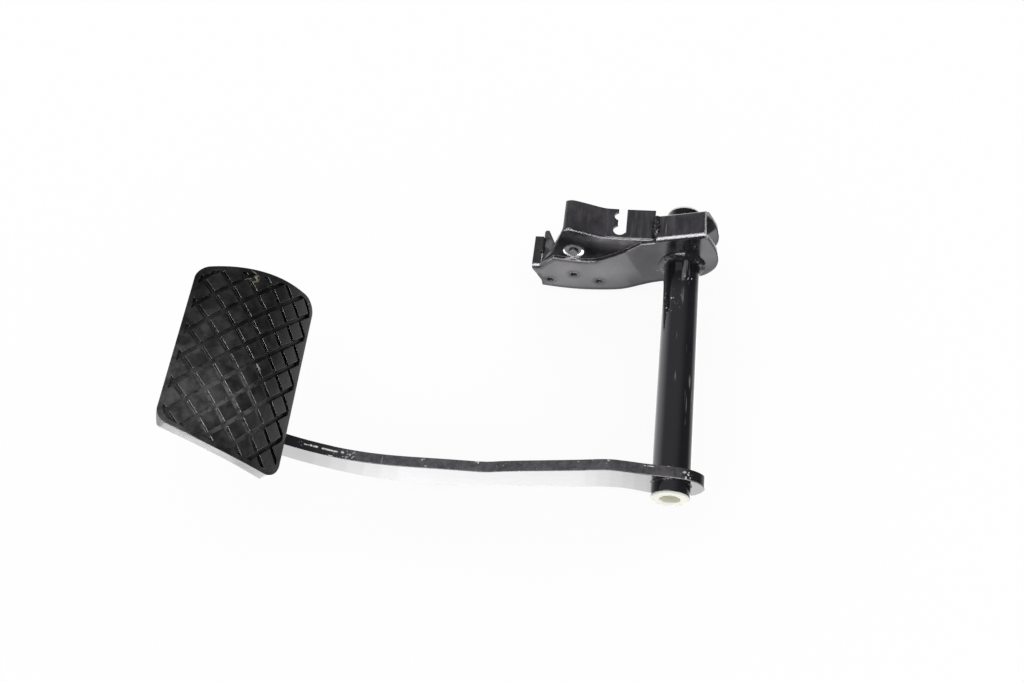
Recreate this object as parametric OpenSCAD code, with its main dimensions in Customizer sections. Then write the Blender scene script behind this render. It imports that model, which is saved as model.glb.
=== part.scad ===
// Hanging brake pedal: welded lever, cross tube, stamped bracket and ribbed rubber pad.
// X points to the driver, Y along the pivot bore towards the pedal arm, Z up as fitted.
// The origin is the middle of the pivot bore. All lengths are millimetres.

/* [Cross tube and bushes] */
// outer diameter of the cross tube
tube_od = 25; // [20:0.5:32]
// wall thickness of the cross tube
tube_wall = 2; // [1.5:0.25:4]
// length of the cross tube from rim to rim
tube_len = 216; // [160:1:260]
// bore diameter of the nylon bushes
bush_bore = 13.4; // [8:0.1:16]
// thickness of the flange of each nylon bush
bush_flange_t = 1.4; // [0.8:0.1:3]
// length of each bush inside the tube
bush_body_len = 16; // [8:1:30]

/* [Pedal arm] */
// thickness of the flat steel arm
arm_t = 7.4; // [5:0.1:10]
// distance from the tube end to the outer face of the arm
arm_stub = 8; // [4:0.5:15]

/* [Bracket] */
// sheet thickness of the two stampings
sheet_t = 3; // [2:0.25:5]
// outer bend radius of the stampings
bend_r = 4; // [3.5:0.25:8]
// overall height of the channel across its two cheeks
channel_h = 22; // [15:1:35]
// lowest face of the channel, measured along the tube
channel_low = -66; // [-75:1:-55]
// diameter of the three small holes in the base plate
small_hole_d = 5; // [3:0.25:8]
// height of the upright web on the second stamping
web_h = 25; // [18:1:35]

/* [Pad] */
// greatest length of the rubber pad across the car
pad_len = 131; // [90:1:150]
// radius of the two bowed ends of the pad
pad_bow_r = 215; // [150:5:400]
// radius of the four pad corners
pad_corner_r = 11; // [6:0.5:16]
// width of the plain rim round the grooves
pad_rim = 3; // [1:0.5:6]
// groove width between the diamond blocks
groove_w = 2.7; // [1.5:0.1:4]
// groove depth
groove_d = 2.2; // [1:0.1:4]
// pitch of the diamond blocks
block_pitch = 13; // [8:0.05:18]
// thickness of the steel plate under the rubber
plate_t = 3; // [2:0.25:5]

/* [Hidden] */
$fn = 64;

tube_r = tube_od / 2;
tube_in_r = tube_r - tube_wall;
half_len = tube_len / 2;
fit_gap = 0.1;
// faces of the arm along Y
arm_out_y = half_len - arm_stub;
arm_in_y = arm_out_y - arm_t;
// levels of the stampings along Y, from the lowest face up
base_lo = channel_low;
base_hi = channel_low - sheet_t;
cheek_top = channel_low - channel_h;
shelf_hi = base_hi - sheet_t;
web_top = base_hi - web_h;

// Catmull-Rom point on the segment b to c
function cr(a, b, c, d, u) = 0.5 * ((2 * b) + (c - a) * u + (2 * a - 5 * b + 4 * c - d) * u * u
  + (3 * b - a - 3 * c + d) * u * u * u);
// smooth open curve through the points, n steps per segment
function curve(p, n) = [for (i = [0 : len(p) - 2]) for (k = [0 : n - 1])
  cr(p[max(i - 1, 0)], p[i], p[i + 1], p[min(i + 2, len(p) - 1)], k / n)];

// solid between two levels along Y from a plan outline in X and Z
module slab_y(y0, y1, pts)
  translate([0, max(y0, y1), 0])
    rotate([90, 0, 0])
      linear_extrude(abs(y1 - y0))
        polygon(pts);

// round bar along Y
module rod_y(r, y0, y1, x = 0, z = 0)
  translate([x, min(y0, y1), z])
    rotate([-90, 0, 0])
      cylinder(r = r, h = abs(y1 - y0));

module pivot_tube()
  color([0.06, 0.06, 0.07])
    difference() {
      rod_y(tube_r, -half_len, half_len);
      rod_y(tube_in_r, -half_len - 1, half_len + 1);
    }

// flanged bush, drawn with its flange at +Y
module bush()
  difference() {
    union() {
      rod_y(tube_r - 0.3, half_len, half_len + bush_flange_t);
      rod_y(tube_in_r, half_len - bush_body_len, half_len + 0.01);
    }
    rod_y(bush_bore / 2, half_len - bush_body_len - 1, half_len + bush_flange_t + 1);
  }

module arm_end_bush()
  color([0.86, 0.85, 0.74])
    bush();

module bracket_end_bush()
  color([0.86, 0.85, 0.74])
    mirror([0, 1, 0])
      bush();

// edge of the arm that faces the driver, from the eye down to the pad
arm_front = [[13.7, 1], [14.5, -6], [15.6, -16], [17.8, -28], [18.8, -37.7], [17.4, -46],
  [14.4, -56.8], [11.2, -69.9], [8.1, -83.1], [5, -96.5], [1.4, -110.2], [-1.3, -118.5], [-2.2, -126],
  [-2.3, -140], [-2.5, -155], [-2.9, -170], [-2.9, -182], [-2.2, -193], [-0.2, -206], [3.6, -219.3],
  [9.3, -231.6], [15.8, -243], [22, -252]];
// opposite edge, from behind the pad up to the eye
arm_back = [[66, -301], [52, -298], [36, -291], [20, -280.5], [6, -268], [-3.2, -257], [-8.2, -250],
  [-14.8, -239], [-21.3, -226.7], [-26.5, -213.6], [-30.3, -200], [-32.5, -186], [-33.4, -171.8],
  [-33.2, -157.5], [-31.6, -143], [-28.3, -128.3], [-24.3, -107], [-20.2, -85], [-15.8, -62],
  [-12.2, -44], [-11.4, -34], [-12.2, -26], [-14.9, -18.5], [-17.5, -11]];
// round end of the arm, from the back over the top to the front of the tube
arm_end = [[-17.5, -11], [-19.6, -4], [-20.2, 3], [-19.2, 9.2], [-16.5, 14], [-12.8, 17.7], [-8.6, 20.1],
  [-3.8, 21.3], [0.9, 20.8], [4.8, 18.7], [8.2, 15.4], [10.9, 11.2], [12.7, 6.4], [13.7, 1]];

module arm_blank(y0, y1)
  slab_y(y0, y1, concat(curve(arm_front, 4), [[22, -252], [90, -290], [86, -303]], curve(arm_back, 4),
    curve(arm_end, 4)));

module pedal_arm()
  color([0.05, 0.05, 0.055])
    difference() {
      arm_blank(arm_in_y, arm_out_y);
      rod_y(tube_r + fit_gap, arm_in_y - 1, arm_out_y + 1);
      pad_place()
        pad_zone(pad_back_d + fit_gap);
    }

// Pad frame: its origin is the block surface where the tread faces the driver's sole
pad_pos = [82.3, 52.25, -276.35];
pad_turn = 48.4;
pad_roll = 0.8;
pad_yaw = 1.25;
// the lower part of the tread is bent tighter than the upper part
r1 = 71.3;
r2 = 133;
joint_a = 26.2;
c2x = -r1 * sin(joint_a) + r2 * sin(joint_a);
c2z = -r1 + r1 * cos(joint_a) - r2 * cos(joint_a);
pad_x_low = 32;
pad_x_high = -53.3;
pad_mid_y = 12;
pad_y_in = pad_mid_y - pad_len / 2;
pad_y_out = pad_mid_y + pad_len / 2;
// the long edges are cut square to the tread, so each lies in a plane through its bend's axis
low_edge_a = asin(pad_x_low / r1);
high_edge_a = asin((pad_x_high - c2x) / r2);
// centres of the circles that bow the two ends
bow_x = -42;
bow_out_y = pad_y_out - pad_bow_r;
bow_in_y = pad_y_in + pad_bow_r;
rubber_base = 3;
plate_d = groove_d + rubber_base;
pad_back_d = plate_d + plate_t;
lip_t = 1.5;
rim_w = 3;
lip_w = 9;

module pad_place()
  translate(pad_pos)
    rotate([pad_roll, 0, 0])
      rotate([0, pad_turn, 0])
        rotate([0, 0, pad_yaw])
          children();

// the two bends of the tread, each [centre x, centre z, radius]
low_bend = [0, -r1, r1];
high_bend = [c2x, c2z, r2];

// sheet bent to one radius between two depths, cut to the shape given as a child
module bent(bend, d0, d1)
  intersection() {
    translate([bend[0], pad_y_in - 40, bend[1]])
      rotate([-90, 0, 0])
        difference() {
          cylinder(r = bend[2] - d0, h = pad_len + 80, $fn = 180);
          translate([0, 0, -1])
            cylinder(r = bend[2] - d1, h = pad_len + 82, $fn = 180);
        }
    children();
  }

// half space on one side of the joint between the two bends
module bend_side(x)
  translate([0, pad_y_in - 42, -r1])
    rotate([0, -joint_a, 0])
      translate([x, 0, -60])
        cube([200, pad_len + 84, 300]);

// sheet that follows both bends
module pad_shell(d0, d1) {
  intersection() {
    bent(low_bend, d0, d1)
      children();
    bend_side(0);
  }
  intersection() {
    bent(high_bend, d0, d1)
      children();
    bend_side(-200);
  }
}

// space taken by the pad above a depth, with clearance round its edge
module pad_zone(d)
  pad_shell(-25, d)
    translate([pad_x_high - 0.4, pad_y_in - 30, -90])
      cube([pad_x_low - pad_x_high + 20, pad_len + 60, 140]);

// half space inside one long edge
module inside_edge(x, z, turn, step)
  translate([x, pad_mid_y - pad_len, z])
    rotate([0, turn, 0])
      translate([step, 0, -40])
        cube([200, 2 * pad_len, 240]);

// rounded outline of the pad, drawn in by a margin
module pad_outline(m)
  intersection() {
    translate([0, 0, -80])
      linear_extrude(120)
        difference() {
          intersection() {
            translate([bow_x, bow_in_y])
              circle(r = pad_bow_r - m, $fn = 360);
            translate([bow_x, bow_out_y])
              circle(r = pad_bow_r - m, $fn = 360);
          }
          for (side = [-1, 1]) {
            corner_cut(pad_x_low - m, 1, side, m);
            corner_cut(pad_x_high + m, -1, side, m);
          }
        }
    inside_edge(0, -r1, low_edge_a, -m - 200);
    inside_edge(c2x, c2z, high_edge_a, m);
  }

// offcut beyond one corner; its arc just overlaps the long edge and the bowed end
module corner_cut(edge_x, sx, side, m)
  let (lap = 0.06, r = pad_corner_r - m * 0.6, x = edge_x - sx * (r - lap),
    bow_y = side > 0 ? bow_out_y : bow_in_y,
    reach = pad_bow_r - m - r + lap, rise = sqrt(reach * reach - pow(x - bow_x, 2)),
    y = bow_y + side * rise, tip = [x + (x - bow_x) * (r + 1) / reach, y + side * rise * (r + 1) / reach])
  difference() {
    polygon([[x, y], [edge_x, y], [edge_x + sx * 9, y], [edge_x + sx * 9, y + side * (r + 6)],
      [tip[0], y + side * (r + 6)], tip]);
    translate([x, y])
      circle(r = r, $fn = 120);
  }

// shrink of the tread when it is laid flat
flat_k = 0.943;
groove_a = atan2(1, flat_k);
groove_step = block_pitch * flat_k * sqrt(2) / sqrt(1 + flat_k * flat_k);
groove_y0 = 1.9;
// where the first groove of each family lies, in steps
groove_shift_a = 0.34;
groove_shift_b = -0.47;

// one family of parallel grooves, stopped short of the pad's edge
module groove_family(turn, shift)
  intersection() {
    for (i = [-6 : 6])
      translate([0, groove_y0, 0])
        rotate([0, 0, turn])
          translate([-110, (i + shift) * groove_step - groove_w / 2, -40])
            cube([220, groove_w, 60]);
    pad_outline(pad_rim);
  }

module pad_plate()
  color([0.07, 0.07, 0.07])
    pad_place()
      pad_shell(plate_d, pad_back_d)
        pad_outline(rim_w);

// rubber on one bend: a cup that grips the steel plate, grooved into diamond blocks
module rubber_bend(bend)
  difference() {
    bent(bend, 0, pad_back_d + lip_t)
      pad_outline(0);
    bent(bend, plate_d, pad_back_d)
      pad_outline(rim_w);
    bent(bend, pad_back_d - 0.01, pad_back_d + lip_t + 1)
      pad_outline(lip_w);
    bent(bend, -5, groove_d)
      groove_family(-groove_a, -groove_shift_a);
    bent(bend, -5, groove_d)
      groove_family(groove_a, groove_shift_b);
  }

module rubber_pad()
  color([0.1, 0.1, 0.1])
    difference() {
      pad_place() {
        intersection() {
          rubber_bend(low_bend);
          bend_side(0);
        }
        intersection() {
          rubber_bend(high_bend);
          bend_side(-200);
        }
      }
      pad_notch();
    }

// gap in the rubber lip for the arm
module pad_notch()
  intersection() {
    pad_place()
      pad_shell(pad_back_d, pad_back_d + 12)
        translate([pad_x_high - 5, pad_y_in - 20, -90])
          cube([40, pad_len + 40, 120]);
    translate([-50, arm_in_y - 2.6, -340])
      cube([200, arm_t + 5.2, 200]);
  }

// front face of the channel in plan, right end and left end
chan_right = [39, 14.6];
chan_left = [31.2, -18.8];
chan_a = atan2(chan_right[0] - chan_left[0], chan_right[1] - chan_left[1]);
chan_len = norm(chan_right - chan_left);

// lobe shared by both cheeks, from the bend round the back of the tube
lobe = [[39, 14.6], [35, 16.6], [31.1, 18.5], [24, 21.6], [16.8, 23.9], [6.9, 24.9], [-1.5, 23.3],
  [-8, 19.2], [-12.5, 14], [-16.5, 4], [-19.8, -8]];
base_back = [[-19.8, -8], [-23.5, -20], [-28.4, -30.2], [-33, -39], [-35.8, -48], [-37.2, -62],
  [-37.4, -76], [-36.3, -88], [-34.6, -98], [-33.2, -104.3]];
base_front = [[4, -92.8], [1.9, -80.6], [0.5, -68], [2.9, -59.1], [8.2, -49.5], [14.5, -40.6],
  [22.4, -31.6], [27.6, -25.8], [30.4, -19.5]];

module base_plate()
  slab_y(base_hi, base_lo, concat(curve(lobe, 4), curve(base_back, 3),
    [[-33.2, -104.3], [-26.6, -104.4], [-17, -107.5], [-11, -109.8], [-11, -103.4], [-6.2, -103.4]],
    curve(base_front, 4), [[30.4, -19.5], chan_left]));

module far_cheek()
  slab_y(cheek_top, cheek_top + sheet_t, concat(curve(lobe, 4),
    [[-19.8, -8], [-19, -15], [-14, -20], [-4, -21.5], [14, -21], chan_left]));

// local frame of the channel web: X along it, Z out to the driver
module chan_place()
  translate([chan_left[0], 0, chan_left[1]])
    rotate([0, chan_a, 0])
      children();

module chan_trim()
  chan_place()
    translate([-bend_r, -120, -30])
      cube([60, 120, chan_len + 80]);

module chan_web()
  chan_place() {
    translate([-sheet_t, cheek_top + bend_r, 0])
      cube([sheet_t, channel_h - 2 * bend_r, chan_len]);
    bend(-bend_r, base_lo - bend_r, 0);
    bend(-bend_r, cheek_top + bend_r, 90);
  }

// quarter ring along local Z, turned about its own axis
module bend(x, y, turn, l = chan_len)
  translate([x, y, 0])
    rotate([0, 0, -turn])
      intersection() {
        difference() {
          cylinder(r = bend_r, h = l);
          translate([0, 0, -1])
            cylinder(r = bend_r - sheet_t, h = l + 2);
        }
        translate([0, 0, -1])
          cube([bend_r + 1, bend_r + 1, l + 2]);
      }

tab_face_x = -7;
tab_z0 = -109.8;
tab_w = 6.4;
tab_top = -92.3;

module end_tab() {
  translate([0, 0, tab_z0])
    bend(tab_face_x - bend_r, base_lo - bend_r, 0, tab_w);
  translate([tab_face_x - sheet_t, tab_top, tab_z0])
    cube([sheet_t, base_lo - bend_r - tab_top, tab_w]);
}

small_holes = [[-25.1, -97.6], [-16.9, -79.1], [-25.3, -60.4]];

module lever_channel()
  color([0.06, 0.06, 0.065])
    difference() {
      union() {
        difference() {
          union() {
            base_plate();
            far_cheek();
          }
          chan_trim();
        }
        chan_web();
        end_tab();
      }
      rod_y(tube_r + fit_gap, cheek_top - 1, base_lo + 1);
      for (h = small_holes)
        rod_y(small_hole_d / 2, base_hi - 1, base_lo + 1, h[0], h[1]);
    }

// plan of the upright web, driver side, from its welded end to its free end
web_plan = [[27, -20], [27.2, -31], [27.5, -42], [28.2, -54], [29.6, -59], [32.2, -65.5], [34.8, -72],
  [36.8, -78], [36.6, -81.5], [35.6, -83.5]];

function back_off(p, t) = [for (i = [len(p) - 1 : -1 : 0])
  let (a = p[max(i - 1, 0)], b = p[min(i + 1, len(p) - 1)], d = (b - a) / norm(b - a))
  p[i] + t * [d[1], -d[0]]];

module web_wall(y0, y1, t)
  let (q = concat(curve(web_plan, 3), [web_plan[len(web_plan) - 1]]))
  slab_y(y0, y1, concat(q, back_off(q, t)));

eye_pos = [9.3, -77.7];
eye_r = 7.5;
slot_low = [-44.5, -76.6];

module keyhole() {
  translate([10, slot_low[1], slot_low[0]])
    rotate([0, 90, 0])
      cylinder(r = 4.6, h = 30);
  translate([10, -88.4, -44.9])
    rotate([0, 90, 0])
      cylinder(r = 4, h = 30);
  translate([10, web_top - 1, -46])
    cube([30, 26 - 5, 6]);
}

module ear()
  translate([-10, 0, 0])
    rotate([0, 90, 0])
      linear_extrude(sheet_t)
        polygon([[103, shelf_hi + 0.5], [103, -96.6], [102, -97.8], [99.9, -97.8], [95, -87.7],
          [93.5, -82], [93.5, shelf_hi + 0.5]]);

module lever_web()
  color([0.06, 0.06, 0.065])
    difference() {
      union() {
        slab_y(base_hi, shelf_hi, concat(curve(web_plan, 3),
          [[35.6, -83.5], [5, -94.8], [-6.6, -103], [-10, -103], [-11, -93], [-11, -60], [-8, -30],
          [2, -20]]));
        web_wall(web_top, base_hi, sheet_t);
        ear();
      }
      keyhole();
      rod_y(eye_r, shelf_hi - 1, base_hi + 1, eye_pos[0], eye_pos[1]);
    }

pin_r = 3.4;

module pin_bush()
  color([0.86, 0.85, 0.74])
    difference() {
      rod_y(eye_r, shelf_hi, base_hi, eye_pos[0], eye_pos[1]);
      rod_y(pin_r, shelf_hi - 1, base_hi + 1, eye_pos[0], eye_pos[1]);
    }

module pushrod_pin()
  color([0.35, 0.35, 0.36])
    union() {
      rod_y(pin_r, shelf_hi - 14, base_hi + 1.5, eye_pos[0], eye_pos[1]);
      rod_y(pin_r + 2.4, shelf_hi - 2, shelf_hi, eye_pos[0], eye_pos[1]);
    }

// ring-shaped fillet weld round the tube: leg on the plate, rise along the tube
module ring_weld(y, leg, rise)
  rotate([-90, 0, 0])
    translate([0, 0, y])
      rotate_extrude()
        polygon([[tube_r, 0], [tube_r + leg, 0], [tube_r + leg * 0.92, rise * 0.32],
          [tube_r + leg * 0.66, rise * 0.68], [tube_r + leg * 0.3, rise * 0.93], [tube_r, rise]]);

module weld_arm_outer()
  color([0.08, 0.08, 0.08])
    intersection() {
      ring_weld(arm_out_y, 1.8, 1.3);
      arm_blank(arm_out_y - 1, arm_out_y + 4);
    }

module weld_arm_inner()
  color([0.08, 0.08, 0.08])
    ring_weld(arm_in_y, 1.1, -1);

module weld_cheek_near()
  color([0.08, 0.08, 0.08])
    ring_weld(base_lo, 4.8, 1.8);

module weld_cheek_far()
  color([0.08, 0.08, 0.08])
    ring_weld(cheek_top, 3, -2.4);

// bead with a second run on top of it, filling the step between the two stampings
module weld_web_seam()
  color([0.08, 0.08, 0.08])
    difference() {
      union() {
        rod_y(2.6, cheek_top + 1, base_hi - 1, 29.2, -19.6);
        rod_y(2.4, cheek_top + 3, base_hi - 1, 30.6, -18.2);
      }
      web_wall(web_top, base_hi, sheet_t);
      chan_web();
    }

module weld_end_tab()
  color([0.08, 0.08, 0.08])
    difference() {
      rod_y(1.5, -90, -78, -6.6, -103.2);
      ear();
      end_tab();
    }

// fillet strip between one side of the arm and the pad plate
module pad_weld(y0)
  intersection() {
    pad_place()
      pad_shell(pad_back_d, pad_back_d + 2.4)
        translate([pad_x_high + lip_w + 1, pad_y_in, -90])
          cube([52, pad_len, 120]);
    translate([-50, y0, -340])
      cube([200, 2.4, 200]);
  }

module weld_pad_left()
  color([0.08, 0.08, 0.08])
    pad_weld(arm_in_y - 2.4);

module weld_pad_right()
  color([0.08, 0.08, 0.08])
    pad_weld(arm_out_y);

pivot_tube();
arm_end_bush();
bracket_end_bush();
pedal_arm();
pad_plate();
rubber_pad();
lever_channel();
lever_web();
pin_bush();
pushrod_pin();
weld_arm_outer();
weld_arm_inner();
weld_cheek_near();
weld_cheek_far();
weld_web_seam();
weld_end_tab();
weld_pad_left();
weld_pad_right();
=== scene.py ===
import math
import bmesh
import bpy
from mathutils import Matrix, Vector, noise


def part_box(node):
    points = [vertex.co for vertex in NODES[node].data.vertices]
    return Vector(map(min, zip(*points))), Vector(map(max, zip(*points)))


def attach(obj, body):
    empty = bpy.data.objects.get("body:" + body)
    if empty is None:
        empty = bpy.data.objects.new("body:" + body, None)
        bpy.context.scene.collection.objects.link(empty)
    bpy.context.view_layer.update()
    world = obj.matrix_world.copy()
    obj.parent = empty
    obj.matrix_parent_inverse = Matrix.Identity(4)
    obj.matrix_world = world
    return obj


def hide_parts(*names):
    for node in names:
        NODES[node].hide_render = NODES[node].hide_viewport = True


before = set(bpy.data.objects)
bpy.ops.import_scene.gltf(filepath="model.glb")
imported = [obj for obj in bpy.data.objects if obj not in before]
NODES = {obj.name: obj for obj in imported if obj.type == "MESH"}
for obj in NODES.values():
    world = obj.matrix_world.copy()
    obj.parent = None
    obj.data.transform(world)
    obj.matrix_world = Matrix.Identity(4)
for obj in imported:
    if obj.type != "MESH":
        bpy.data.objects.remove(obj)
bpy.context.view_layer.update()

scene = bpy.context.scene

# Directions of the row frame
DRIVER = (1.0, 0.0, 0.0)
ARM_END = (0.0, 1.0, 0.0)
BRACKET_END = (0.0, -1.0, 0.0)
UP = (0.0, 0.0, 1.0)
DOWN = (0.0, 0.0, -1.0)
CAR_FRONT = (-1.0, 0.0, 0.0)

# Camera, solved from the straight edges of the cross tube in the photograph
CAMERA_PLACE = (0.5807, 0.3126, 0.0)
CAMERA_RIGHT = (-0.127165, -0.126539, 0.983777)
CAMERA_UP = (0.478731, -0.876488, -0.050857)
CAMERA_BACK = (0.868704, 0.464497, 0.172037)
FOCAL_PIXELS = 950.0
PHOTO_WIDTH_PIXELS = 1024.0
SENSOR_MM = 36.0

# Studio: brightness of the ceiling, table and far wall in reflections, and of the room's own light
CEILING_DARK, CEILING_BRIGHT = 0.10, 0.55
TABLE_BRIGHT = 1.8
FAR_BRIGHT = 0.85
ROOM_DARK, ROOM_BRIGHT = 0.62, 0.92
FLOOR_GAP = 0.0085
CARD_X = -0.20

# Enamel colours
# Bare steel of chips, and also the colour of painted highlights on edges and streaks
BARE_STEEL_AND_HIGHLIGHT = (0.80, 0.79, 0.78)
SCRATCH_GREY = (0.30, 0.30, 0.31)
DUST_GREY = (0.16, 0.15, 0.165)
SCRATCH_TURNS = [(0.2, 0.4, 0.1), (1.1, 0.3, 0.7), (0.5, 1.4, 0.9), (0.1, 0.9, 0.4)]


def add_camera():
    """Camera at the photograph's place, turn and focal length."""
    cam = bpy.data.cameras.new("camera")
    cam.sensor_width = SENSOR_MM
    cam.lens = FOCAL_PIXELS / PHOTO_WIDTH_PIXELS * SENSOR_MM
    cam.clip_end = 20.0
    ob = bpy.data.objects.new("camera", cam)
    scene.collection.objects.link(ob)
    turn = Matrix((CAMERA_RIGHT, CAMERA_UP, CAMERA_BACK)).transposed()
    ob.matrix_world = Matrix.Translation(CAMERA_PLACE) @ turn.to_4x4()
    scene.camera = ob


class Graph:
    """Short calls for building one node tree."""

    def __init__(self, tree, coordinate=None):
        self.tree = tree
        if coordinate:
            self.where = self.add("ShaderNodeTexCoord").outputs[coordinate]

    def add(self, kind, **settings):
        node = self.tree.nodes.new(kind)
        for key, value in settings.items():
            setattr(node, key, value)
        return node

    def put(self, socket, value):
        """Link another node's output to a socket, or write a plain value into it."""
        if hasattr(value, "links"):
            self.tree.links.new(value, socket)
        elif isinstance(value, tuple) and len(value) == 3 and len(socket.default_value) == 4:
            socket.default_value = (*value, 1.0)
        else:
            socket.default_value = value

    def math(self, op, *values, clamp=False):
        node = self.add("ShaderNodeMath", operation=op, use_clamp=clamp)
        for socket, value in zip(node.inputs, values):
            self.put(socket, value)
        return node.outputs[0]

    def both(self, first, *others):
        """Product: masks that all have to hold, or a mask turned down by a factor."""
        for other in others:
            first = self.math("MULTIPLY", first, other)
        return first

    def either(self, first, *others):
        """Highest of several masks."""
        for other in others:
            first = self.math("MAXIMUM", first, other)
        return first

    def change(self, base, mask, gain):
        """The base value, changed by the gain where the mask is 1."""
        return self.math("MULTIPLY_ADD", mask, gain, base)

    def dot(self, a, b):
        node = self.add("ShaderNodeVectorMath", operation="DOT_PRODUCT")
        self.put(node.inputs[0], a)
        self.put(node.inputs[1], b)
        return node.outputs["Value"]

    def step(self, value, low, high, out_low=0.0, out_high=1.0):
        """Smooth rise from out_low to out_high between two values; low may lie above high."""
        node = self.add("ShaderNodeMapRange", interpolation_type="SMOOTHSTEP")
        self.put(node.inputs["Value"], value)
        node.inputs["From Min"].default_value = low
        node.inputs["From Max"].default_value = high
        node.inputs["To Min"].default_value = out_low
        node.inputs["To Max"].default_value = out_high
        return node.outputs["Result"]

    def mix(self, fac, a, b):
        """Colour a where fac is 0 and colour b where it is 1."""
        node = self.add("ShaderNodeMix", data_type="RGBA")
        self.put(node.inputs[0], fac)
        self.put(node.inputs[6], a)
        self.put(node.inputs[7], b)
        return node.outputs[2]

    def noise(self, scale, detail=4.0, rough=0.55, stretch=None, turn=(0, 0, 0), shift=(0, 0, 0)):
        where = self.where
        if stretch:
            place = self.add("ShaderNodeMapping")
            self.put(place.inputs["Vector"], where)
            place.inputs["Rotation"].default_value = turn
            place.inputs["Location"].default_value = shift
            place.inputs["Scale"].default_value = stretch
            where = place.outputs[0]
        node = self.add("ShaderNodeTexNoise")
        self.put(node.inputs["Vector"], where)
        node.inputs["Scale"].default_value = scale
        node.inputs["Detail"].default_value = detail
        node.inputs["Roughness"].default_value = rough
        return node.outputs["Fac"]

    def near(self, spot, reach, soft=0.5):
        """1 close to a point of the row frame, 0 beyond reach."""
        away = self.add("ShaderNodeVectorMath", operation="DISTANCE")
        self.put(away.inputs[0], self.where)
        self.put(away.inputs[1], spot)
        return self.step(away.outputs["Value"], reach * soft, reach, 1.0, 0.0)

    def along(self, direction, low, high, out_low=0.0, out_high=1.0):
        """Rise between two distances from the origin along a direction."""
        return self.step(self.dot(self.where, direction), low, high, out_low, out_high)

    def span(self, name, low, high, soft=0.0004):
        """1 between two values of one row coordinate."""
        split = self.add("ShaderNodeSeparateXYZ")
        self.put(split.inputs[0], self.where)
        value = split.outputs[name]
        above = self.step(value, low - soft, low + soft)
        return self.both(above, self.step(value, high + soft, high - soft))

    def turned(self, normal, direction, low, high):
        """1 where a normal turns towards a direction of the row frame."""
        return self.step(self.dot(normal, direction), low, high)

    def faces(self, direction, low, high):
        """1 on faces turned towards a direction of the row frame."""
        normal = self.add("ShaderNodeNewGeometry").outputs["Normal"]
        return self.turned(normal, direction, low, high)

    def bump(self, height, strength, distance, normal=None):
        node = self.add("ShaderNodeBump")
        node.inputs["Strength"].default_value = strength
        node.inputs["Distance"].default_value = distance
        self.put(node.inputs["Height"], height)
        if normal is not None:
            self.put(node.inputs["Normal"], normal)
        return node.outputs["Normal"]

    def rounded(self, radius):
        """Normal of the surface with its edges rounded."""
        node = self.add("ShaderNodeBevel", samples=4)
        node.inputs["Radius"].default_value = radius
        return node.outputs["Normal"]

    def edge(self, radius, low=0.96, high=0.80):
        """1 along sharp edges, 0 on open faces."""
        flat = self.add("ShaderNodeNewGeometry").outputs["True Normal"]
        return self.step(self.dot(self.rounded(radius), flat), low, high)

    def cavity(self, distance, low=0.75, high=0.35):
        """1 in corners and grooves, 0 on open faces."""
        node = self.add("ShaderNodeAmbientOcclusion", samples=8, only_local=False)
        node.inputs["Distance"].default_value = distance
        return self.step(node.outputs["AO"], low, high)


class Material(Graph):
    """Graph of one new material round its Principled shader."""

    def __init__(self, name):
        self.mat = bpy.data.materials.new(name)
        self.mat.use_nodes = True
        super().__init__(self.mat.node_tree, "Object")
        self.shader = self.tree.nodes["Principled BSDF"]

    def put_shader(self, name, value):
        self.put(self.shader.inputs[name], value)


def scratches(g, cut, count):
    """Sparse fine streaks in up to four directions; a lower cut shows more of them."""
    lengthways, across = 9.0, 234.0
    lines = []
    for k, turn in enumerate(SCRATCH_TURNS[:count]):
        stretch = (across, lengthways, across)
        streak = g.noise(1.0, 2.0, 0.5, stretch, turn, (k * 3.1, k * 1.7, k * 2.3))
        patch = g.noise(38.0, 2.0, 0.5, (1, 1, 1), (0, 0, 0), (k * 5.3, k * 4.1, k * 6.7))
        lines.append(g.both(g.step(streak, cut, cut + 0.03), g.step(patch, 0.5, 0.62)))
    return g.either(*lines)


def gloss_black(g, chips, marks, dust, normal, haze=0.0):
    """Shared look of the black enamel: smudges, worn spots, scratches and dust. Callers also pass
    painted highlights among the worn spots, and painted reflection and painted shade through the
    dust.
    """
    smudge = g.noise(55.0, 6.0, 0.6)
    black = g.mix(smudge, (0.007, 0.007, 0.009), (0.014, 0.013, 0.016))
    dusty = g.mix(dust, black, DUST_GREY)
    scuffed = g.mix(g.both(marks, 0.45), dusty, SCRATCH_GREY)
    g.put_shader("Base Color", g.mix(chips, scuffed, BARE_STEEL_AND_HIGHLIGHT))
    wet = g.step(smudge, 0.3, 0.75, 0.05, 0.17)
    worn = g.both(g.either(marks, chips, dust), 0.30)
    g.put_shader("Roughness", g.math("ADD", g.math("ADD", wet, worn), haze, clamp=True))
    waves = g.bump(g.noise(150.0, 2.0, 0.5), 0.05, 0.0008, normal)
    grain = g.bump(g.noise(900.0, 3.0, 0.6), 0.05, 0.0002, waves)
    g.put_shader("Normal", g.bump(g.either(marks, chips), 0.35, -0.00012, grain))
    g.put_shader("IOR", 1.5)
    g.put_shader("Specular Tint", (0.98, 0.95, 1.0, 1.0))
    return g.mat


def sheet_wear(g):
    """Chipped edges, scratches and corner dust that both stampings share."""
    spots = g.noise(240.0, 4.0, 0.7)
    chips = g.both(g.edge(0.0009), g.step(spots, 0.62, 0.68))
    marks = scratches(g, 0.73, 2)
    dust = g.both(g.cavity(0.006), g.step(spots, 0.4, 0.62), 0.35)
    return spots, chips, marks, dust


def film(g):
    """Thin grey film with streaks that run down the upright walls."""
    broad = g.step(g.noise(60.0, 6.0, 0.65), 0.38, 0.68, 0.02, 0.24)
    runs = g.step(g.noise(1.0, 4.0, 0.6, (190, 26, 190)), 0.45, 0.70, 0.04, 0.34)
    return g.either(broad, g.both(runs, g.faces(DRIVER, 0.6, 0.85)))


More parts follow.
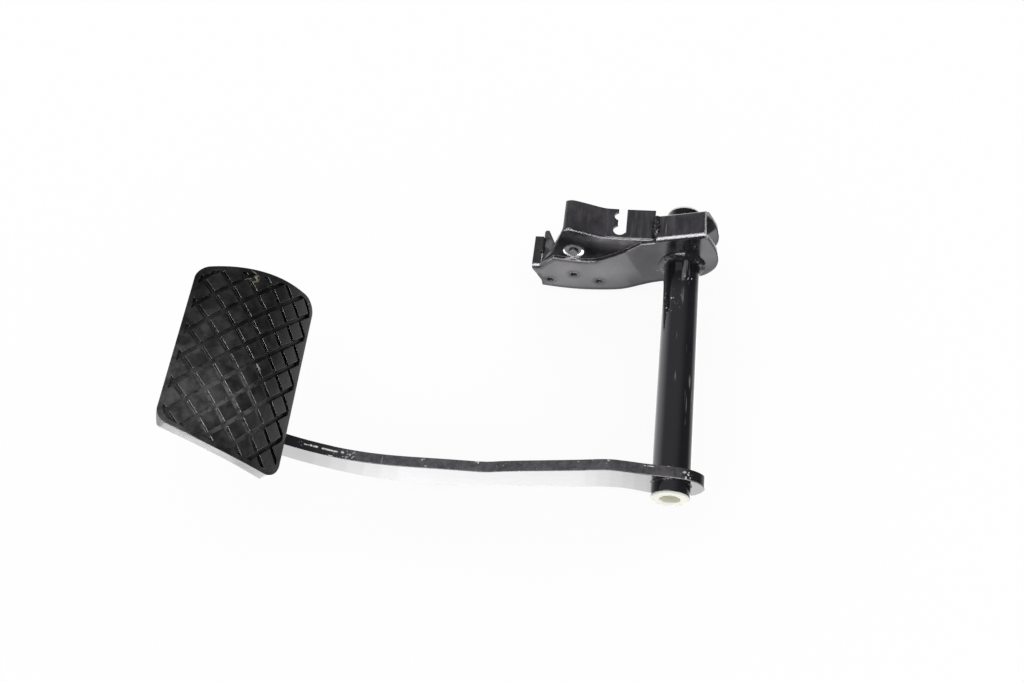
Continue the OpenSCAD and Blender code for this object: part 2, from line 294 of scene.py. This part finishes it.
def plate_shade(g, plate):
    """Painted shade on the base plate where it mirrors dark things: along its rims alone, and
    there and beside the tube.
    """
    low_side = g.along(CAR_FRONT, 0.012, 0.020)
    far_end = g.near((0.0, -0.066, -0.084), 0.030, 0.75)
    rims = g.both(plate, g.either(low_side, far_end), g.edge(0.0065, 0.9997, 0.965))
    low_half = g.both(plate, g.along((-0.93, 0.0, 0.37), -0.008, 0.012))
    past_line = g.along((0.35, 0.0, 0.937), -0.0345, -0.0315)
    by_tube = g.both(plate, past_line, g.along(DOWN, 0.008, 0.020))
    return rims, g.either(rims, g.both(low_half, 0.5), g.both(by_tube, 0.45))


def make_paint(name):
    """Enamel of the first stamping and the pad plate, with painted shade on the base plate and a
    painted highlight along its S-shaped edge.
    """
    g = Material(name)
    spots, chips, marks, dust = sheet_wear(g)
    # A bright broken line along the channel web's end edge, drawn in the bare steel colour.
    top_corner = g.near((0.0390, -0.077, 0.0142), 0.0125, 0.8)
    corner = g.both(g.edge(0.0016, 0.99, 0.93), top_corner)
    corner = g.both(corner, g.step(spots, 0.30, 0.50, 0.45, 1.0))
    # Painted highlight: a bright line along the S-shaped front edge of the base plate, in the bare
    # steel colour.
    s_bend = g.either(g.near((0.0020, -0.066, -0.0800), 0.020, 0.8),
                      g.near((0.0230, -0.066, -0.0310), 0.013, 0.8))
    s_highlight = g.both(g.edge(0.0013, 0.995, 0.93), s_bend, 0.75)
    # From here on the chip mask also carries the bright end-edge line and the painted S-edge
    # highlight.
    chips = g.either(chips, corner, s_highlight)
    plate = g.faces(ARM_END, 0.90, 0.98)
    rims, shade = plate_shade(g, plate)
    # Painted shade: the plate reflects less where it mirrors dark things.
    g.put_shader("Specular IOR Level", g.change(0.5, shade, -0.46))
    # Two mottled lighter grey patches on the open plate face, passed on with the dust.
    pale = g.either(g.near((-0.0090, -0.066, -0.0560), 0.022, 0.1),
                    g.near((-0.0100, -0.066, -0.0850), 0.020, 0.1))
    pale = g.both(pale, plate, g.step(g.noise(45.0, 4.0, 0.6), 0.30, 0.65, 0.15, 0.55))
    # Dust, film and the lighter patches, mostly taken away under the painted shade so that it
    # stays dark.
    dust = g.both(g.either(dust, film(g), pale), g.change(1.0, shade, -0.85))
    return gloss_black(g, chips, marks, dust, g.rounded(0.0018), g.both(rims, 0.08))


def leaning_normal(g, lean):
    """Rounded normal that leans to the driver, as on a sheet that swells up."""
    push = g.add("ShaderNodeCombineXYZ")
    g.put(push.inputs["X"], lean)
    total = g.add("ShaderNodeVectorMath", operation="ADD")
    g.put(total.inputs[0], g.rounded(0.0028))
    g.put(total.inputs[1], push.outputs[0])
    unit = g.add("ShaderNodeVectorMath", operation="NORMALIZE")
    g.put(unit.inputs[0], total.outputs[0])
    return unit.outputs[0]


def make_web_paint(name):
    """Enamel of the upright stamping, whose shelf swells up towards the web and is lit beside it
    by a painted reflection.
    """
    g = Material(name)
    chips, marks, dust = sheet_wear(g)[1:]
    shelf = g.faces(ARM_END, 0.90, 0.98)
    by_web = g.along((0.94, 0.0, 0.34), -0.016, 0.006)
    # Painted reflection: the shelf lightened beside the web, mottled, and passed on with the dust.
    pale = g.both(g.near((0.0235, -0.069, -0.048), 0.030, 0.2), shelf, by_web)
    pale = g.both(pale, g.step(g.noise(60.0, 4.0, 0.6), 0.3, 0.6, 0.25, 0.55))
    ear = g.near((-0.007, -0.087, -0.098), 0.015, 0.3)
    ear = g.both(ear, g.step(g.noise(170.0, 5.0, 0.65), 0.42, 0.62, 0.1, 1.0))
    normal = leaning_normal(g, g.both(shelf, g.change(0.45, by_web, 0.25)))
    return gloss_black(g, chips, g.either(marks, ear), g.either(dust, pale, film(g)), normal)


def arm_streaks(g):
    """Long streaks on the front edge: rubbed steel, with a painted highlight that makes them as
    white as their glints; by their lowest and highest z and y.
    """
    torn = g.step(g.noise(750.0, 4.0, 0.65), 0.36, 0.46)
    streaks = [
        (-0.2419, -0.2388, 0.0957, 0.0963),
        (-0.2384, -0.2338, 0.0952, 0.0963),
        (-0.2313, -0.2216, 0.0954, 0.0964),
        (-0.2195, -0.2178, 0.0950, 0.0960),
        (-0.2268, -0.2240, 0.0993, 0.0998),
    ]
    masks = []
    for low_z, high_z, low_y, high_y in streaks:
        masks.append(g.both(g.span("Z", low_z, high_z), g.span("Y", low_y, high_y, 0.0003)))
    return g.both(g.either(*masks), torn)


def arm_scuffs(g, spots):
    """Flecks and scuffs beside the streaks and by the eye, and a painted highlight along the outer
    edge above the tube.
    """
    fine = g.noise(620.0, 4.0, 0.65)
    by_eye = g.both(g.near((0.0118, 0.0972, 0.0095), 0.0045), g.step(fine, 0.56, 0.61))
    scuffs = g.either(g.near((0.0022, 0.0962, -0.2140), 0.0065, 0.3),
                      g.near((0.0150, 0.0955, -0.2435), 0.0030, 0.3))
    scuffs = g.both(scuffs, g.step(fine, 0.54, 0.62, 0.0, 0.6))
    thin = g.both(g.span("Z", -0.0170, -0.0110), g.span("Y", 0.0937, 0.0942, 0.0002))
    thin = g.both(thin, g.step(spots, 0.40, 0.50))
    # Painted highlight along the edge between the front and the outer side near the tube, broken
    # by noise.
    edge_highlight = g.both(g.edge(0.0013, 0.998, 0.93), g.along(ARM_END, 0.0965, 0.0975))
    edge_highlight = g.both(edge_highlight, g.along(UP, -0.030, -0.006))
    edge_highlight = g.both(edge_highlight, g.step(g.noise(170.0, 4.0, 0.6), 0.40, 0.60, 0.30, 0.95))
    return g.either(by_eye, scuffs, thin, edge_highlight)


def make_arm_paint(name):
    """Enamel of the arm, rubbed to bare steel in streaks along its front edge, with painted
    highlights on those streaks and on an edge near the tube.
    """
    g = Material(name)
    front = g.faces((0.9, 0.0, -0.3), 0.6, 0.85)
    below_eye = g.faces((0.9, 0.0, 0.4), 0.7, 0.9)
    spots = g.noise(260.0, 4.0, 0.7)
    # The worn mask holds real scuffs and also the painted glints and the painted edge highlight.
    worn = g.both(g.either(arm_streaks(g), arm_scuffs(g, spots)), g.either(front, below_eye))
    flecks = g.both(g.step(spots, 0.665, 0.70), front)
    chips = g.both(g.edge(0.0009), g.step(spots, 0.58, 0.64))
    marks = g.both(scratches(g, 0.70, 3), front)
    dust = g.both(g.step(g.noise(300.0, 5.0, 0.7), 0.3, 0.7, 0.25, 1.0), g.both(front, 0.42))
    chips = g.either(chips, flecks, worn)
    return gloss_black(g, chips, marks, dust, g.rounded(0.0008), g.both(front, 0.22))


def make_tube_paint(name):
    """Enamel of the cross tube: fine curved scratches, weld spatter near the bracket, and painted
    shade (less reflection) on its front near the bracket.
    """
    g = Material(name)
    spots = g.noise(240.0, 4.0, 0.7)
    spatter = g.either(g.near((0.0090, -0.048, 0.0045), 0.008, 0.2),
                       g.near((0.0077, -0.030, -0.0070), 0.012, 0.2))
    dots = g.both(g.step(g.noise(520.0, 3.0, 0.6), 0.62, 0.65), spatter)
    dots = g.either(dots, g.step(spots, 0.765, 0.78))
    dust = g.both(g.cavity(0.005), 0.25)
    # Painted shade: the front of the tube near the bracket reflects less.
    front_shade = g.both(g.along(BRACKET_END, 0.034, 0.052), g.faces((0.97, 0.0, 0.24), 0.35, 0.75))
    g.put_shader("Specular IOR Level", g.change(0.5, front_shade, -0.36))
    return gloss_black(g, dots, scratches(g, 0.665, 4), dust, g.rounded(0.0008))


def make_weld(name):
    """Painted weld bead: coarse ripples and spatter under the same black paint."""
    g = Material(name)
    lump = g.noise(330.0, 3.0, 0.5)
    fine = g.noise(900.0, 3.0, 0.6)
    bare = g.step(g.noise(520.0, 3.0, 0.6), 0.63, 0.68)
    black = g.mix(lump, (0.010, 0.010, 0.012), (0.030, 0.029, 0.029))
    g.put_shader("Base Color", g.mix(bare, black, (0.38, 0.37, 0.37)))
    g.put_shader("Specular IOR Level", 0.22)
    g.put_shader("Roughness", g.step(fine, 0.3, 0.7, 0.10, 0.30))
    normal = g.bump(lump, 0.55, 0.0010, g.rounded(0.0012))
    g.put_shader("Normal", g.bump(fine, 0.25, 0.0003, normal))
    return g.mat


def block_rub_and_highlight(g, round_normal, cloud, fine):
    """1 on rubbed block edges, and a painted highlight strongest on the sides that face down and
    to the arm end.
    """
    lower_left = (0.0, 0.81, -0.59)
    # Painted highlight: rounded edges turned partly down and to the arm end, away from the groove
    # depths.
    lit_side_edge = g.both(g.turned(round_normal, lower_left, 0.02, 0.28),
                       g.turned(round_normal, lower_left, 0.84, 0.62))
    lit_side_edge = g.both(lit_side_edge, g.cavity(0.0035, 0.50, 0.80))
    broad = g.both(lit_side_edge, g.step(cloud, 0.36, 0.58, 0.15, 0.85))
    return g.either(broad, g.both(g.edge(0.0006, 0.97, 0.85), g.step(fine, 0.50, 0.62, 0.0, 0.5)))


def pad_stain(g):
    """Thin curls of dried yellow dirt at the top of the pad and near its middle."""
    spots = g.either(g.near((0.0800, 0.0080, -0.2780), 0.0062, 0.5),
                     g.near((0.0662, 0.0668, -0.2640), 0.0035))
    curl = g.math("ABSOLUTE", g.math("SUBTRACT", g.noise(130.0, 1.0, 0.5), 0.52))
    return g.both(spots, g.step(curl, 0.035, 0.015))


def make_rubber(name):
    """Worn pad rubber: lighter grey towards one corner, dusty grooves with painted shade in their
    depths, rubbed block edges with painted highlights, and stains.

    Its left is the photograph's, which is down as the pedal hangs."""
    g = Material(name)
    groove = g.cavity(0.0035, 0.88, 0.55)
    patch = g.noise(34.0, 5.0, 0.6)
    cloud = g.noise(95.0, 5.0, 0.65)
    fine = g.noise(260.0, 5.0, 0.65)
    # Lighter grey towards the lower left of the tread, strongest in one corner.
    low_left = g.near((0.100, 0.095, -0.300), 0.075, 0.15)
    dusty_spot = g.near((0.0740, 0.0960, -0.2680), 0.038, 0.2)
    left_half = g.along((0.0, 0.75, -0.65), 0.175, 0.285)
    haze = g.either(g.both(left_half, 0.25), low_left)
    clean = g.mix(g.step(cloud, 0.35, 0.65), (0.003, 0.003, 0.004), (0.015, 0.015, 0.017))
    cloudy = g.step(g.math("ADD", patch, cloud), 0.80, 1.20, 0.06, 0.58)
    hazy = g.mix(g.both(haze, cloudy), clean, (0.095, 0.093, 0.094))
    # Painted shade: the grooves darkened nearly to black in their depths.
    groove_shade = g.mix(g.both(groove, 0.92), hazy, (0.001, 0.001, 0.001))
    dust = g.both(groove, g.math("ADD", g.both(dusty_spot, 0.55), g.both(low_left, 0.12)))
    dusty = g.mix(g.both(dust, g.step(fine, 0.30, 0.55)), groove_shade, (0.30, 0.295, 0.285))
    round_normal = g.rounded(0.0008)
    rub_and_highlight = block_rub_and_highlight(g, round_normal, cloud, fine)
    # One light grey for the rubbed edges and the painted highlights.
    rubbed = g.mix(rub_and_highlight, dusty, (0.25, 0.25, 0.26))
    g.put_shader("Base Color", g.mix(g.both(pad_stain(g), 0.70), rubbed, (0.40, 0.36, 0.27)))
    skirt = g.faces(ARM_END, 0.35, 0.75)
    worn = g.math("ADD", g.step(cloud, 0.3, 0.7, 0.34, 0.50), g.both(rub_and_highlight, -0.12))
    g.put_shader("Roughness", g.change(worn, skirt, -0.22))
    # Painted shade: faces turned to the driver reflect less.
    rim_shade = g.faces(DRIVER, 0.86, 0.96)
    g.put_shader("Specular IOR Level", g.change(g.change(0.30, haze, 0.12), rim_shade, -0.20))
    normal = g.bump(g.noise(900.0, 4.0, 0.65), 0.18, 0.0003, round_normal)
    g.put_shader("Normal", g.bump(g.noise(150.0, 3.0, 0.5), 0.12, 0.001, normal))
    return g.mat


def make_nylon(name):
    """Natural nylon, slightly yellowed and marked by grease."""
    g = Material(name)
    tone = g.noise(120.0, 4.0, 0.5)
    base = g.mix(tone, (0.94, 0.93, 0.82), (0.90, 0.88, 0.72))
    grime = g.both(g.cavity(0.003), g.step(g.noise(260.0, 3.0, 0.6), 0.45, 0.7))
    g.put_shader("Base Color", g.mix(g.both(grime, 0.5), base, (0.25, 0.23, 0.16)))
    g.put_shader("Roughness", g.step(tone, 0.3, 0.7, 0.30, 0.45))
    g.put_shader("Normal", g.bump(tone, 0.06, 0.0004, g.rounded(0.0004)))
    g.put_shader("Subsurface Weight", 0.5)
    g.put_shader("Subsurface Scale", 0.004)
    g.put_shader("Subsurface Radius", (1.0, 1.0, 0.95))
    return g.mat


def make_ring(name):
    """Greasy dark ring round the pushrod pin, with a painted highlight of bright metal on one
    side.
    """
    g = Material(name)
    tone = g.noise(300.0, 4.0, 0.6)
    greasy = g.mix(tone, (0.03, 0.03, 0.03), (0.07, 0.07, 0.07))
    greasy_part = g.near((0.0110, -0.069, -0.0781), 0.0066, 0.91)
    # Painted highlight: bright metal on the ring's outer part, on the car-front side.
    highlight_crescent = g.both(g.math("SUBTRACT", 1.0, greasy_part), g.along(CAR_FRONT, -0.0125, -0.0100))
    g.put_shader("Base Color", g.mix(highlight_crescent, greasy, (0.85, 0.84, 0.85)))
    g.put_shader("Roughness", g.step(tone, 0.3, 0.7, 0.16, 0.30))
    g.put_shader("Metallic", 0.9)
    g.put_shader("Normal", g.rounded(0.0006))
    return g.mat


def make_pin(name):
    """Dull plated steel of the pushrod pin."""
    g = Material(name)
    turning = g.noise(1.0, 3.0, 0.5, (700, 60, 700))
    stain = g.noise(160.0, 5.0, 0.6)
    base = g.mix(g.step(stain, 0.45, 0.7), (0.07, 0.07, 0.075), (0.03, 0.03, 0.03))
    g.put_shader("Base Color", base)
    g.put_shader("Roughness", g.step(stain, 0.3, 0.7, 0.34, 0.5))
    g.put_shader("Normal", g.bump(turning, 0.12, 0.0002, g.rounded(0.0012)))
    g.put_shader("Metallic", 0.4)
    return g.mat


def dress(names, mat):
    """Give CAD nodes a material."""
    for name in names:
        slots = NODES[name].data.materials
        slots.clear()
        slots.append(mat)


def mix_shaders(g, fac, a, b):
    node = g.add("ShaderNodeMixShader")
    for socket, value in zip(node.inputs, (fac, a, b)):
        g.put(socket, value)
    return node.outputs[0]


def add_world():
    """White behind the object, an even room for its colours, and a studio for its reflections."""
    world = bpy.data.worlds.new("world")
    scene.world = world
    world.use_nodes = True
    world.node_tree.nodes.clear()
    g = Graph(world.node_tree, "Generated")

    def sky(towards, low, high, dark, bright):
        return g.along(tuple(Vector(towards).normalized()), low, high, dark, bright)

    def background(strength):
        node = g.add("ShaderNodeBackground")
        g.put(node.inputs["Color"], (1.0, 1.0, 1.0))
        g.put(node.inputs["Strength"], strength)
        return node.outputs[0]

    ceiling = sky((0.75, -0.45, -0.30), 0.35, 0.95, CEILING_DARK, CEILING_BRIGHT)
    table = sky((-0.80, -0.10, -0.60), 0.0, 0.75, 0.0, TABLE_BRIGHT)
    far = sky((-0.75, -0.45, 0.48), 0.72, 0.95, 0.0, FAR_BRIGHT)
    studio = background(g.math("ADD", g.math("ADD", ceiling, table), far))
    room = background(sky((0.6, -0.5, 0.4), -0.8, 0.8, ROOM_DARK, ROOM_BRIGHT))
    path = g.add("ShaderNodeLightPath").outputs
    light = mix_shaders(g, path["Is Glossy Ray"], room, studio)
    surface = mix_shaders(g, path["Is Camera Ray"], light, background(1.0))
    g.put(g.add("ShaderNodeOutputWorld").inputs["Surface"], surface)


def add_softbox(name, spot, target, size, radiance):
    """Lamp for glossy rays only: it shows in reflections and adds nothing to plain colours."""
    lamp = bpy.data.lights.new(name, "AREA")
    lamp.shape = "RECTANGLE"
    lamp.size, lamp.size_y = size
    lamp.energy = radiance * math.pi * size[0] * size[1]
    ob = bpy.data.objects.new(name, lamp)
    scene.collection.objects.link(ob)
    ob.location = spot
    ob.rotation_euler = (Vector(target) - Vector(spot)).to_track_quat("-Z", "Y").to_euler()
    ob.visible_camera = False
    ob.visible_diffuse = False


def add_card(name, y, low_z, high_z, width, radiance, behind=0.0):
    """Reflection card on the table side, from low_z to high_z, that faces the driver."""
    x, z = CARD_X - behind, (low_z + high_z) / 2
    add_softbox(name, (x, y, z), (0.0, y, z), (width, high_z - low_z), radiance)


def add_cards():
    """Cards that the arm's outer side, the pad's skirt and the base plate mirror, and a key."""
    add_card("card_arm", 0.18, -0.44, 0.06, 0.13, 1.2)
    for k in range(6):
        low_z, high_z = -0.322 + 0.0155 * k, -0.020 - 0.011 * k
        add_card("card_middle_%d" % k, 0.18, low_z, high_z, 0.13, 0.33, 0.002 + 0.002 * k)
    add_card("card_skirt", 0.22, -0.63, -0.41, 0.20, 2.6)
    add_card("card_plate", 0.06, -0.18, -0.05, 0.12, 0.7)
    add_card("card_lobe", 0.075, 0.0, 0.07, 0.12, 0.8)
    add_softbox("key", (0.69, 0.62, -0.28), (0.0, -0.02, -0.08), (0.70, 0.70), 26.0)


def add_floor():
    """Pale table just behind the pedal as it lies on its back, clear from its lower side."""
    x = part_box("lever_channel")[0][0] - FLOOR_GAP
    mesh = bpy.data.meshes.new("floor")
    mesh.from_pydata([(x, -3, -3), (x, 3, -3), (x, 3, 3), (x, -3, 3)], [], [(0, 1, 2, 3)])
    ob = bpy.data.objects.new("floor", mesh)
    scene.collection.objects.link(ob)
    mat = bpy.data.materials.new("floor")
    mat.use_nodes = True
    mat.node_tree.nodes.clear()
    g = Graph(mat.node_tree)
    paper = g.add("ShaderNodeBsdfDiffuse")
    g.put(paper.inputs["Color"], (0.13, 0.13, 0.13))
    glow = g.add("ShaderNodeEmission")
    g.put(glow.inputs["Strength"], 0.885)
    lit = g.add("ShaderNodeAddShader")
    g.put(lit.inputs[0], paper.outputs[0])
    g.put(lit.inputs[1], glow.outputs[0])
    lower_side = g.add("ShaderNodeNewGeometry").outputs["Backfacing"]
    clear = g.add("ShaderNodeBsdfTransparent").outputs[0]
    surface = mix_shaders(g, lower_side, lit.outputs[0], clear)
    g.put(g.add("ShaderNodeOutputMaterial").inputs["Surface"], surface)
    mesh.materials.append(mat)
    ob.visible_glossy = False
    ob.visible_diffuse = False
    ob.visible_shadow = False


def add_piece(name, verts, faces):
    """Smooth closed mesh with its normals outwards."""
    mesh = bpy.data.meshes.new(name)
    mesh.from_pydata(verts, [], faces)
    bm = bmesh.new()
    bm.from_mesh(mesh)
    bmesh.ops.recalc_face_normals(bm, faces=bm.faces)
    bm.to_mesh(mesh)
    bm.free()
    for poly in mesh.polygons:
        poly.use_smooth = True
    ob = bpy.data.objects.new(name, mesh)
    scene.collection.objects.link(ob)
    return ob


def bead_ring(name, y, leg, rise, ripples, seed, swell=0.0):
    """Uneven fillet bead round the cross tube, from the plate at y by rise along the tube."""
    tube_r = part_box("pivot_tube")[1][0]
    around, arc, root = 144, 9, 0.0004
    first_degrees, swing_degrees = -6.0, 102.0
    verts, faces = [], []
    for i in range(around):
        a = 2.0 * math.pi * i / around
        driver_side = max(0.0, math.cos(a - 0.2)) ** 2
        wave = (1.0 + swell * driver_side) * (1.0 + 0.025 * math.sin(a * ripples))
        for k in range(arc):
            b = math.radians(first_degrees + swing_degrees * k / (arc - 1))
            spot = Vector((math.cos(a) * 5.5, math.sin(a) * 5.5, seed + k * 0.35))
            size = wave * (1.0 + 0.22 * noise.noise(spot * 0.6) + 0.08 * noise.noise(spot * 2.2))
            r = tube_r + leg * size * math.cos(b)
            verts.append((r * math.cos(a), y + rise * size * math.sin(b), r * math.sin(a)))
        r = tube_r - root
        verts.append((r * math.cos(a), y - math.copysign(root, rise), r * math.sin(a)))
    step = arc + 1
    for i in range(around):
        j = (i + 1) % around
        for k in range(step):
            m = (k + 1) % step
            faces.append((i * step + k, j * step + k, j * step + m, i * step + m))
    return add_piece(name, verts, faces)


def bead_line(name, start, end, size, ripples, seed):
    """Lumpy bead between two points along Y."""
    start, end = Vector(start), Vector(end)
    rows, around = 60, 20
    verts, faces = [], []
    for i in range(rows + 1):
        t = i / rows
        cap = math.sqrt(max(0.02, 1.0 - abs(2.0 * t - 1.0) ** 8))
        wave = 1.0 + 0.16 * math.sin(t * ripples * math.pi * 2.0)
        mid = start.lerp(end, t)
        for k in range(around):
            a = 2.0 * math.pi * k / around
            spot = Vector((math.cos(a) * 1.3, math.sin(a) * 1.3, seed + t * 9.0))
            lump = 1.0 + 0.38 * noise.noise(spot) + 0.2 * noise.noise(spot * 2.7)
            r = size * cap * wave * lump
            verts.append((mid.x + r * math.cos(a), mid.y, mid.z + r * math.sin(a)))
    for i in range(rows):
        here, there = i * around, (i + 1) * around
        for k in range(around):
            m = (k + 1) % around
            faces.append((here + k, here + m, there + m, there + k))
    faces.append(tuple(range(around - 1, -1, -1)))
    faces.append(tuple(rows * around + k for k in range(around)))
    return add_piece(name, verts, faces)


def add_beads(mat):
    """Uneven weld beads in place of the plain CAD rings and bar."""
    near_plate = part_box("weld_cheek_near")[0][1]
    far_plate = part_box("weld_cheek_far")[1][1]
    arm_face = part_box("weld_arm_outer")[0][1]
    seam_x, seam_z, inset = 0.0302, -0.0186, 0.0002
    seam_low, seam_high = (corner[1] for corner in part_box("weld_web_seam"))
    start, end = (seam_x, seam_low + inset, seam_z), (seam_x, seam_high - inset, seam_z)
    beads = {
        "weld_cheek_near": bead_ring("bead_cheek_near", near_plate, 0.0039, 0.0022, 11, 2.0, 0.45),
        "weld_cheek_far": bead_ring("bead_cheek_far", far_plate, 0.0028, -0.0023, 18, 9.0),
        "weld_arm_outer": bead_ring("bead_arm_outer", arm_face, 0.0008, 0.0007, 13, 4.0),
        "weld_web_seam": bead_line("bead_web_seam", start, end, 0.0026, 4, 5.0),
    }
    for node, ob in beads.items():
        ob.data.materials.append(mat)
        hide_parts(node)
        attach(ob, "root")


def dress_nodes(weld):
    """Materials of all CAD nodes."""
    dress(["lever_channel", "pad_plate"], make_paint("gloss_paint"))
    dress(["lever_web"], make_web_paint("web_paint"))
    dress(["pedal_arm"], make_arm_paint("arm_paint"))
    dress(["pivot_tube"], make_tube_paint("tube_paint"))
    dress([name for name in NODES if name.startswith("weld_")], weld)
    dress(["rubber_pad"], make_rubber("pad_rubber"))
    dress(["arm_end_bush", "bracket_end_bush"], make_nylon("bush_nylon"))
    dress(["pin_bush"], make_ring("pin_ring"))
    dress(["pushrod_pin"], make_pin("pin_steel"))


add_camera()
painted_weld = make_weld("painted_weld")
dress_nodes(painted_weld)
add_beads(painted_weld)
add_world()
add_floor()
add_cards()
scene.view_settings.view_transform = "Standard"
